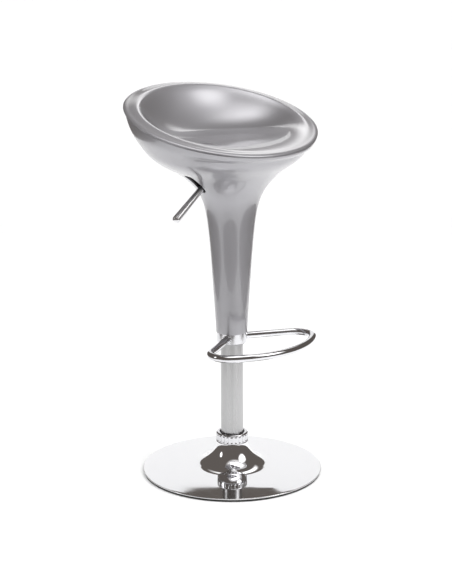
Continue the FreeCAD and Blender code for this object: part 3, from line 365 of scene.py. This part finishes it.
CLEAR_COAT = {"Coat_Weight": 1.0, "Coat_Roughness": 0.025, "Coat_IOR": 1.6}
ALONG_TUBE = (1, 1, 0.01)
FINISHES = {
    # Metallic silver ABS moulding under a clear gloss.
    "shell_silver": Finish("silver_abs", (0.42, 0.42, 0.43), 0.75, 0.45, **CLEAR_COAT)
    .tint((0.345, 0.34, 0.36), (0.415, 0.41, 0.435), 2600, detail=1.0)
    .gloss(0.40, 0.45, 9, detail=3.0)
    .bump(0.00002, 0.5, 3400, detail=1.0),
    "chrome": Finish("chrome_plate", (0.85, 0.85, 0.865), 1.0, 0.05)
    .gloss(0.035, 0.075, 14, detail=3.0)
    .bump(0.0004, 0.15, 18, detail=1.0),
    # Chrome of the small bright parts, darker than the base's chrome: partly a duller plating, partly painted
    # shade for the shadowed floor their undersides reflect.
    "chrome_tube_shaded": Finish("chrome_tube_shaded", (0.70, 0.70, 0.72), 1.0, 0.08)
    .gloss(0.06, 0.11, 20, detail=3.0),
    # Drawn tube with faint streaks along it.
    "column_satin": Finish("satin_column", (0.50, 0.50, 0.505), 1.0, 0.30)
    .gloss(0.27, 0.33, 220, stretch=ALONG_TUBE)
    .bump(0.0002, 0.07, 260, stretch=ALONG_TUBE),
    "lever_satin": Finish("satin_lever", (0.84, 0.84, 0.855), 1.0, 0.30).gloss(0.29, 0.33, 25),
    "zinc_steel": Finish("zinc_steel", (0.56, 0.57, 0.58), 1.0, 0.38)
    .tint((0.47, 0.48, 0.50), (0.62, 0.62, 0.60), 90, detail=4.0)
    .gloss(0.30, 0.46, 40),
    "bearing_steel": Finish("bearing_steel", (0.62, 0.62, 0.62), 1.0, 0.16).gloss(0.12, 0.22, 300),
    "black_steel": Finish("black_powder_coat", (0.018, 0.018, 0.019), 0.0, 0.45)
    .gloss(0.38, 0.52, 700)
    .bump(0.0002, 0.4, 1500, detail=1.0),
    "black_rubber": Finish("black_rubber", (0.022, 0.021, 0.020), 0.0, 0.62)
    .gloss(0.55, 0.70, 160)
    .bump(0.0002, 0.3, 900),
    "grey_nylon": Finish("grey_nylon", (0.42, 0.42, 0.43), 0.0, 0.42).gloss(0.36, 0.48, 240),
    "brass": Finish("brass", (0.72, 0.53, 0.24), 1.0, 0.28).gloss(0.22, 0.34, 200),
}
# Nodes whose finish isn't the plain one of their slot.
OWN_FINISH = {
    # The footrest and the collars take the darker chrome, which is partly painted shade.
    "footrest_loop": "chrome_tube_shaded",
    "footrest_collar": "chrome_tube_shaded",
    "base_collar_ring": "chrome_tube_shaded",
}


def dress(obj, node, slot):
    """Gives a piece the finish of its node, or else of its slot."""
    obj.data.materials.clear()
    obj.data.materials.append(FINISHES[OWN_FINISH.get(node, slot)].material)


def dress_frame():
    """Gives every CAD node its finish."""
    for part in frame["record"]["subparts"]:
        obj = NODES[part["node"]]
        dress(obj, part["node"], part["material_slot"])
        for face in obj.data.polygons:
            face.material_index = 0


def place(obj, slot, body, node):
    """Puts a finished piece on its body, in place of a CAD node."""
    dress(obj, node, slot)
    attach(obj, body)
    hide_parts(node)


# ---- seat and bell --------------------------------------------------------------------------


def ellipse_of(station):
    """Half width, half depth, centre, height at the centre and slope of a ring of the seat."""
    width, front_y, front_z, back_y, back_z = station
    depth, centre, height = (back_y - front_y) / 2, (back_y + front_y) / 2, (back_z + front_z) / 2
    return width, depth, centre, height, (back_z - front_z) / (back_y - front_y)


def ellipse_ring(width, depth, centre, height, slope):
    """Points on an ellipse whose height climbs towards the back."""
    angles = np.arange(COLUMNS) * TAU / COLUMNS
    y = depth * np.sin(angles)
    return np.stack([width * np.cos(angles), centre + y, height + slope * y], 1)


SEAM_WIDTH, SEAM_DEPTH, SEAM_CENTRE, SEAM_HEIGHT, SEAM_SLOPE = ellipse_of(RIM_RINGS[0])


def unit(vectors):
    return vectors / np.linalg.norm(vectors, axis=-1)[..., None]


def outward(rings):
    """Unit normals of a skin of rings, away from the material."""
    along = np.gradient(rings, axis=0)
    around = np.roll(rings, -1, axis=1) - np.roll(rings, 1, axis=1)
    normal = np.cross(around, along)
    return normal / np.maximum(np.linalg.norm(normal, axis=2), 1e-9)[:, :, None]


def edge_round(ring, normal, ahead, gap, radius, steps=5):
    """Rings that round a wall's outer edge. ahead points from the edge back along the wall."""
    turn = np.linspace(0, math.pi / 2, steps)
    centre = ring + ahead * (gap + radius) - normal * radius
    return [centre + normal * radius * math.cos(t) - ahead * radius * math.sin(t) for t in turn]


def round_corner(before, after, reach, steps=9):
    """Joins two skins of rings that share an edge, and rounds the edge over reach on each side."""
    edge = before[-1]

    def clear(ring):
        return np.linalg.norm(ring - edge, axis=1).min() > reach

    start = next(i for i in range(len(before) - 1, -1, -1) if clear(before[i]))
    end = next(i for i in range(len(after)) if clear(after[i]))
    shares = np.linspace(0, 1, steps + 2)[1:-1]
    bend = [(1 - t) ** 2 * before[start] + 2 * t * (1 - t) * edge + t * t * after[end] for t in shares]
    return np.concatenate([before[: start + 1], bend, after[end:]])


def make_seat_shell():
    """The seat: one skin over the rim and the dish, thickened, with four bosses under its floor."""
    rim = np.array([ellipse_ring(*ellipse_of(s)) for s in smooth(RIM_RINGS, RIM_STEPS)])
    dish = np.array([ellipse_ring(*ellipse_of(s)) for s in smooth(DISH_RINGS, DISH_STEPS)])
    top = round_corner(rim, dish, FLANGE_CORNER)
    floor = top[-1].mean(0)
    middle = [floor + (top[-1] - floor) * share for share in (0.75, 0.5, 0.25, 0.001)]
    top = np.concatenate([top, middle])
    normals = outward(top)
    normals[-1] = normals[-2] = UPWARD
    under = (top - normals * WALL)[::-1]
    lip = edge_round(top[0], normals[0], unit(top[1] - top[0]), SEAM_GAP, SEAM_EDGE)[::-1]
    skin = np.concatenate([top[1:], under, lip])
    pieces = [ring_body("seat_moulding", skin, 50.0, closed=True)]
    for across in (-BOSS_OFFSET, BOSS_OFFSET):
        for along in (-BOSS_OFFSET, BOSS_OFFSET):
            boss = lathe("seat_boss", BOSS_OUTLINE, 48)
            boss.data.transform(Matrix.Translation((across * MM, along * MM, 0)))
            pieces.append(boss)
    return join("seat_moulding", pieces)


def bell_ring(station):
    """A ring of the bell: round at the mouth, and the seam's tilted ellipse at the top."""
    height, radius = station
    mouth, rim = BELL_RINGS[0][1], (SEAM_WIDTH + SEAM_DEPTH) / 2
    share = min(max((radius - mouth) / (rim - mouth), 0.0), 1.0)
    ratio = 1 + (SEAM_WIDTH / SEAM_DEPTH - 1) * share**OVAL_RISE
    depth = 2 * radius / (1 + ratio)
    centre = SEAM_CENTRE * math.sin(math.pi / 2 * share**BACK_RISE) ** 2
    slope = math.tan(math.atan(SEAM_SLOPE) * share**TILT_RISE)
    return ellipse_ring(ratio * depth, depth, centre, height, slope)


def make_slot_cutter():
    """A round-ended bar that cuts the lever's slot, square to the bell's wall."""
    outline = []
    for k in range(64):
        angle = TAU * (k + 0.5) / 64
        end = math.copysign(SLOT_HALF_LENGTH - SLOT_HALF_WIDTH, math.cos(angle))
        outline.append((end + SLOT_HALF_WIDTH * math.cos(angle), SLOT_HALF_WIDTH * math.sin(angle)))
    rings = [[(x, y, depth) for x, y in outline] for depth in (-SLOT_DEPTH, SLOT_DEPTH)]
    cutter = ring_body("slot_cutter", rings, 30.0)
    turn = Matrix.Rotation(SLOT_TILT, 4, "Y")
    cutter.data.transform(Matrix.Translation(SLOT_MIDDLE * MM) @ turn)
    return cutter


def cut_away(obj, cutter):
    """Cuts one mesh by another, which is used up."""
    change = obj.modifiers.new("cut", "BOOLEAN")
    change.operation, change.solver, change.object = "DIFFERENCE", "EXACT", cutter
    bpy.context.view_layer.update()
    cut = obj.evaluated_get(bpy.context.evaluated_depsgraph_get())
    made = bpy.data.meshes.new_from_object(cut)
    obj.modifiers.clear()
    obj.data = made
    bpy.data.objects.remove(cutter)
    finish_mesh(obj, 50.0)


def keep_normals(mesh, before, centre, reach):
    """Gives corners close to a cut the normals of the skin before it, blended from the nearest vertices."""
    tree = KDTree(len(before.vertices))
    for i, vertex in enumerate(before.vertices):
        tree.insert(vertex.co, i)
    tree.balance()
    skin = [vertex.normal.copy() for vertex in before.vertices]
    wanted = [(0.0, 0.0, 0.0)] * len(mesh.loops)
    for face in mesh.polygons:
        if (face.center - centre).length > reach:
            continue
        for corner in face.loop_indices:
            point = mesh.vertices[mesh.loops[corner].vertex_index].co
            total = Vector()
            for _, index, distance in tree.find_n(point, 4):
                if skin[index].dot(face.normal) > 0.6:
                    total += skin[index] / (distance + 1e-5)
            if total.length > 0:
                wanted[corner] = tuple(total.normalized())
    mesh.normals_split_custom_set(wanted)


def make_bell_shell():
    """The bell: a thin moulding from a round mouth to the seam, with the lever's slot."""
    seam = (SEAM_HEIGHT, (SEAM_WIDTH + SEAM_DEPTH) / 2)
    outer = np.array([bell_ring(s) for s in smooth([*BELL_RINGS, seam], BELL_STEPS)])
    normals = outward(outer)
    walls = np.linspace(NECK_WALL, WALL, len(outer))[:, None, None]
    inner = (outer - normals * walls)[::-1]
    inner[-1, :, 2] = outer[0, :, 2]
    top = edge_round(outer[-1], normals[-1], unit(outer[-2] - outer[-1]), SEAM_GAP, SEAM_EDGE)
    mouth = edge_round(outer[0], normals[0], unit(outer[1] - outer[0]), 0.0, MOUTH_EDGE)[::-1]
    skin = np.concatenate([mouth, outer[1:-1], top, inner])
    bell = ring_body("bell_moulding", skin, 50.0, closed=True)
    before = bell.data.copy()
    cut_away(bell, make_slot_cutter())
    keep_normals(bell.data, before, SLOT_MIDDLE * MM, SLOT_SURROUND * MM)
    return bell


# ---- base, column and collar ----------------------------------------------------------------


def flute(radius, angles, height):
    """Radius of the knurled ring by angle: shallow round flutes that fade out at both ends."""
    off = ((angles * FLUTES / TAU + 0.5) % 1.0 - 0.5) * TAU / FLUTES
    inside = np.clip(FLUTE_RADIUS**2 - (FLUTE_CIRCLE * np.sin(off)) ** 2, 0, None)
    wall = np.where(inside > 0, FLUTE_CIRCLE * np.cos(off) - np.sqrt(inside), radius)
    rise, drop = (height - FLUTE_LOW) / FLUTE_FADE, (FLUTE_HIGH - height) / FLUTE_FADE
    fade = min(max(rise, 0), 1) * min(max(drop, 0), 1)
    return radius + (np.minimum(wall, radius) - radius) * fade * (radius > FLUTED_SKIN)


def make_base():
    disc = lathe("base_plate", BASE_OUTLINE, 256, steps=20, span=6.0)
    place(disc, "chrome", "base", "base_disc")
    ring = lathe("rubber_ring", FLOOR_RING_OUTLINE, 192)
    place(ring, "black_rubber", "base", "floor_ring")
    tube = lathe("column", COLUMN_OUTLINE, 96, span=20.0)
    place(tube, "column_satin", "base", "column_tube")
    columns = FLUTES * FLUTE_COLUMNS
    knurled = lathe("knurled_ring", KNURL_OUTLINE, columns, span=0.7, crease=45.0, shape=flute)
    place(knurled, "chrome", "base", "base_collar_ring")


# ---- footrest and lever ---------------------------------------------------------------------


def arc_points(centre, radius, first, last, step=2.0):
    """Points on a level arc from angle first to angle last, in degrees."""
    count = max(2, int(abs(last - first) / step) + 1)
    angles = np.radians(np.linspace(first, last, count))
    return [(centre[0] + radius * math.cos(a), centre[1] + radius * math.sin(a)) for a in angles]


def footrest_path():
    """The loop's centre line: arm, bend, bow, bend, arm, from one weld to the other."""
    along = np.array((math.sin(ARM_TURN), -math.cos(ARM_TURN)))
    forward = np.array((-math.cos(ARM_TURN), -math.sin(ARM_TURN)))
    centre = along * ARM_LENGTH + forward * BEND_RADIUS
    bow_y = centre[1] + math.sqrt((BOW_RADIUS - BEND_RADIUS) ** 2 - centre[0] ** 2)
    first = math.degrees(math.atan2(-forward[1], -forward[0]))
    last = math.degrees(math.atan2(centre[1] - bow_y, centre[0]))
    arm = [tuple(along * distance) for distance in np.linspace(ARM_START, ARM_LENGTH, 24)[:-1]]
    arm += arc_points(centre, BEND_RADIUS, first, last)[:-1]
    bow = arc_points((0.0, bow_y), BOW_RADIUS, last, -180.0 - last)
    return arm + bow + [(-x, y) for x, y in reversed(arm)]


def make_weld_bead(side):
    """A rippled ring of weld where an arm meets the collar."""
    along = np.array((side * math.sin(ARM_TURN), -math.cos(ARM_TURN), 0))
    across = np.array((-along[1], along[0], 0))
    reach = FOOTREST_TUBE + BEAD_LIFT
    rings = []
    for k in range(72):
        angle = TAU * k / 72
        size = BEAD_SIZE + BEAD_RIPPLE * math.sin(BEAD_WAVES * angle)
        aside, up = reach * math.cos(angle), reach * math.sin(angle)
        point = along * math.sqrt(COLLAR_RADIUS**2 - aside * aside) + across * aside
        point = point + np.array((0, 0, FOOTREST_HEIGHT + up))
        out = across * math.cos(angle) + np.array(UPWARD) * math.sin(angle)
        rings.append(
            [point + size * (out * math.cos(t) + along * math.sin(t)) for t in np.arange(12) * TAU / 12]
        )
    return ring_body("weld_bead", rings, 60.0, closed=True)


def make_footrest():
    path = [(x, y, FOOTREST_HEIGHT) for x, y in footrest_path()]
    tube = tube_along("footrest_tube", path, FOOTREST_TUBE, 64)
    loop = join("footrest_tube", [tube, make_weld_bead(1), make_weld_bead(-1)])
    place(loop, "chrome", "seat", "footrest_loop")


def make_grip():
    """Tapered grip on the lever's outer end."""
    grip = lathe("lever_handle", GRIP_OUTLINE, 64, steps=12, span=6.0, crease=45.0)
    drop = (LEVER_KNEE - GRIP_START) * math.tan(LEVER_SLOPE)
    start = Vector((GRIP_START, 0, LEVER_HEIGHT - drop)) * MM
    turn = Matrix.Rotation(-math.pi / 2 - LEVER_SLOPE, 4, "Y")
    grip.data.transform(Matrix.Translation(start) @ turn)
    place(grip, "lever_satin", "lever", "lever_grip")


# ---- stage, light and camera, in metres -----------------------------------------------------

FORWARD = Vector((0.6841, 0.7294, 0.0)).normalized()
RIGHTWARD = Vector((FORWARD.y, -FORWARD.x, 0.0))

PAPER_WHITE, PAPER_ROUGHNESS = (0.93, 0.93, 0.93), 0.8
PAPER_HALF_WIDTH, PAPER_NEAR, PAPER_FAR, PAPER_BEND, PAPER_TOP = 1.12, 1.1, 3.4, 0.6, 2.15
ROOM = (0.13, 0.115, 0.105)
AMBIENT = (1.0, 1.0, 1.0)

LIGHT_TARGET = Vector((0, 0, 0.55))
# Azimuth from the camera's side round to its right, elevation, distance, width, height and watts.
LIGHTS = {
    "key": (67, 36, 2.2, 1.8, 1.8, 62),
    "back": (170, 39, 2.6, 2.6, 0.9, 22),
    "overhead": (48, 76, 2.4, 3.4, 2.8, 92),
    "fill": (-75, 20, 2.6, 0.8, 1.2, 16),
}

CAMERA_PLACE = (-2.0695, -2.1885, 1.1573)
CAMERA_PITCH, CAMERA_ROLL = math.radians(13.93), math.radians(0.25)
CAMERA_LENS, CAMERA_SENSOR = 87.42, 36.0


def make_floor():
    """A white paper sweep: a strip of floor along the camera's heading that curves up behind the stool."""
    outline = [(-PAPER_NEAR, 0.0), (PAPER_FAR - PAPER_BEND, 0.0)]
    for k in range(1, 25):
        turn = math.pi / 2 * k / 24
        along = PAPER_FAR - PAPER_BEND + PAPER_BEND * math.sin(turn)
        outline.append((along, PAPER_BEND - PAPER_BEND * math.cos(turn)))
    outline.append((PAPER_FAR, PAPER_TOP))
    sides = (-PAPER_HALF_WIDTH, PAPER_HALF_WIDTH)
    points = [FORWARD * along + RIGHTWARD * side + UPWARD * up for along, up in outline for side in sides]
    faces = [(i, i + 1, i + 3, i + 2) for i in range(0, len(points) - 2, 2)]
    floor = mesh_object("floor", points, faces)
    floor.data.materials.append(Finish("paper_white", PAPER_WHITE, 0.0, PAPER_ROUGHNESS).material)


def fade_edges(light):
    """Dims an area light smoothly from its middle to its edges, as a soft box does."""
    light.use_nodes = True
    tree = light.node_tree
    place = tree.nodes.new("ShaderNodeNewGeometry")
    middle = tree.nodes.new("ShaderNodeVectorMath")
    middle.operation = "DISTANCE"
    middle.inputs[1].default_value = (0.5, 0.5, 0.0)
    fade = tree.nodes.new("ShaderNodeMapRange")
    fade.interpolation_type = "SMOOTHSTEP"
    fade.inputs["From Min"].default_value = 0.5
    fade.inputs["From Max"].default_value = 0.0
    tree.links.new(place.outputs["Parametric"], middle.inputs[0])
    tree.links.new(middle.outputs["Value"], fade.inputs["Value"])
    tree.links.new(fade.outputs["Result"], tree.nodes["Emission"].inputs["Strength"])


def soft_light(name, azimuth, elevation, distance, width, height, power):
    """An area light that faces the stool and isn't seen by the camera."""
    data = bpy.data.lights.new(name, "AREA")
    data.shape, data.size, data.size_y, data.energy = "RECTANGLE", width, height, power
    fade_edges(data)
    obj = bpy.data.objects.new(name, data)
    bpy.context.scene.collection.objects.link(obj)
    a, e = math.radians(azimuth), math.radians(elevation)
    level = -FORWARD * math.cos(a) + RIGHTWARD * math.sin(a)
    away = level * math.cos(e) + UPWARD * math.sin(e)
    obj.location = LIGHT_TARGET + away * distance
    obj.rotation_euler = away.to_track_quat("Z", "Y").to_euler()
    obj.visible_camera = False


def make_world():
    """A dark warm room for what shines, and even white light for everything else."""
    world = bpy.data.worlds.new("studio")
    bpy.context.scene.world = world
    world.use_nodes = True
    tree = world.node_tree
    tree.nodes.clear()
    ray = tree.nodes.new("ShaderNodeLightPath")
    plain = tree.nodes.new("ShaderNodeMath")
    plain.operation = "MAXIMUM"
    tree.links.new(ray.outputs["Is Camera Ray"], plain.inputs[0])
    tree.links.new(ray.outputs["Is Diffuse Ray"], plain.inputs[1])
    mix = tree.nodes.new("ShaderNodeMixShader")
    tree.links.new(plain.outputs[0], mix.inputs[0])
    for socket, color in enumerate((ROOM, AMBIENT), 1):
        shade = tree.nodes.new("ShaderNodeBackground")
        shade.inputs["Color"].default_value = (*color, 1)
        tree.links.new(shade.outputs[0], mix.inputs[socket])
    output = tree.nodes.new("ShaderNodeOutputWorld")
    tree.links.new(mix.outputs[0], output.inputs["Surface"])


def make_camera():
    """The photo's angle: level heading, pitched down a little, with a slight roll."""
    data = bpy.data.cameras.new("camera")
    data.lens, data.sensor_width, data.sensor_fit = CAMERA_LENS, CAMERA_SENSOR, "AUTO"
    data.clip_end = 200.0
    camera = bpy.data.objects.new("camera", data)
    bpy.context.scene.collection.objects.link(camera)
    ahead = FORWARD * math.cos(CAMERA_PITCH) - UPWARD * math.sin(CAMERA_PITCH)
    level_up = RIGHTWARD.cross(ahead)
    right = RIGHTWARD * math.cos(CAMERA_ROLL) - level_up * math.sin(CAMERA_ROLL)
    up = RIGHTWARD * math.sin(CAMERA_ROLL) + level_up * math.cos(CAMERA_ROLL)
    turn = Matrix((right, up, -ahead)).transposed().to_4x4()
    camera.matrix_world = Matrix.Translation(CAMERA_PLACE) @ turn
    bpy.context.scene.camera = camera


dress_frame()
place(make_seat_shell(), "shell_silver", "seat", "seat_shell")
place(make_bell_shell(), "shell_silver", "seat", "bell_shell")
make_base()
make_footrest()
make_grip()
make_floor()
for name, settings in LIGHTS.items():
    soft_light(name, *settings)
make_world()
make_camera()
bpy.context.scene.view_settings.view_transform = "Standard"
